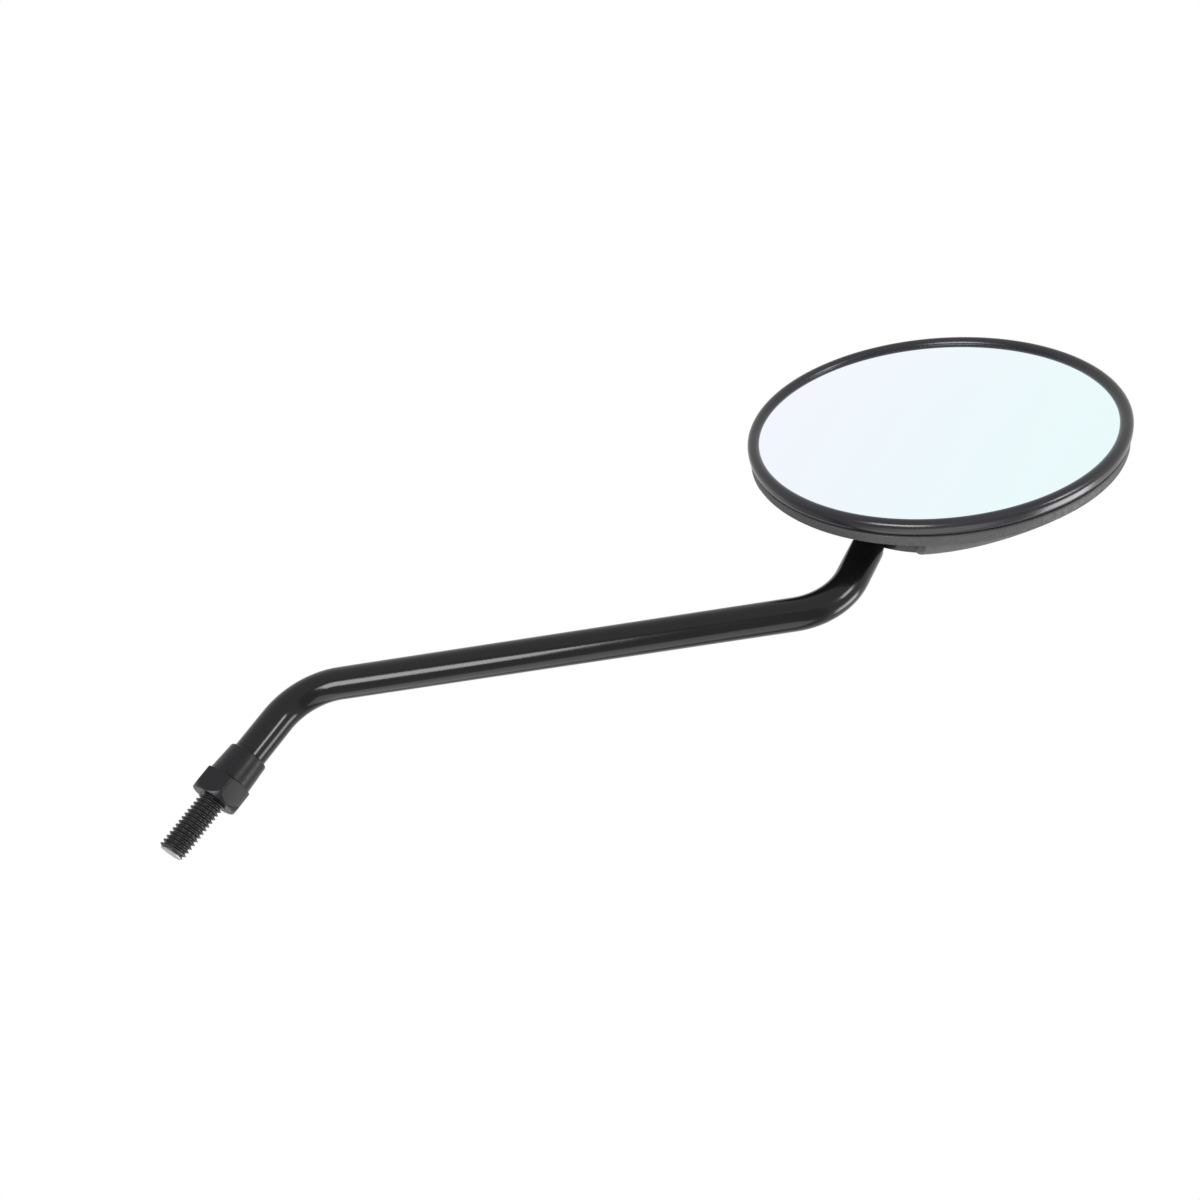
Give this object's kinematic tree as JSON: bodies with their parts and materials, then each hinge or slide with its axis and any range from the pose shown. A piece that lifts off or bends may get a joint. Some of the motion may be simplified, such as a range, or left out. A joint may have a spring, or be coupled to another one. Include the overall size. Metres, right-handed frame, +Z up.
{
  "type": "motorcycle mirror",
  "caption": "Round convex mirror in a domed black housing, on a cranked black stem, with a ball joint in the head and a threaded stud and lock nut below.",
  "frame": {"origin": "on the stud's axis, halfway along its exposed thread", "axes": "+Z up the stud, +X outward along the arm, the glass looks towards -Y at the rider"},
  "size_m": [0.205, 0.0386, 0.2695],
  "materials": {
    "gloss_black_paint": "gloss",
    "black_steel": "blackened, satin",
    "textured_plastic": "fine grain, matte",
    "smooth_rubber": "smooth, satin",
    "mirror": "polished",
    "pad_foam": "closed-cell foam",
    "seat_plastic": "natural",
    "zinc_steel": "zinc plated",
    "dark_steel": "brown-black oxide"
  },
  "bodies": {
    "stem": {"stem": "gloss_black_paint", "lock_nut": "black_steel"},
    "front_seat": {"front_ball_seat": "seat_plastic"},
    "rear_seat": {"rear_ball_seat": "seat_plastic"},
    "head": {"housing": "textured_plastic", "bezel": "smooth_rubber", "mirror_glass": "mirror", "backing_pad": "pad_foam", "clamp_plate": "zinc_steel", "clamp_screw": "dark_steel", "lock_washer": "zinc_steel", "square_nut": "zinc_steel"}
  },
  "joints": [
    {"name": "head_pan", "type": "hinge", "parent": "stem", "child": "front_seat", "pos_m": [0.13696, 0, 0.18108], "axis": [0, 0, 1], "continuous": true},
    {"name": "head_tilt", "type": "hinge", "parent": "front_seat", "child": "rear_seat", "pos_m": [0.13696, 0, 0.18108], "axis": [0.9914, -0.1305, 0], "range_deg": [-1.2, 16.3]},
    {"name": "head_roll", "type": "hinge", "parent": "rear_seat", "child": "head", "pos_m": [0.13696, 0, 0.18108], "axis": [0.1284, 0.9755, -0.1788], "range_deg": [-38.8, 11.2]}
  ]
}
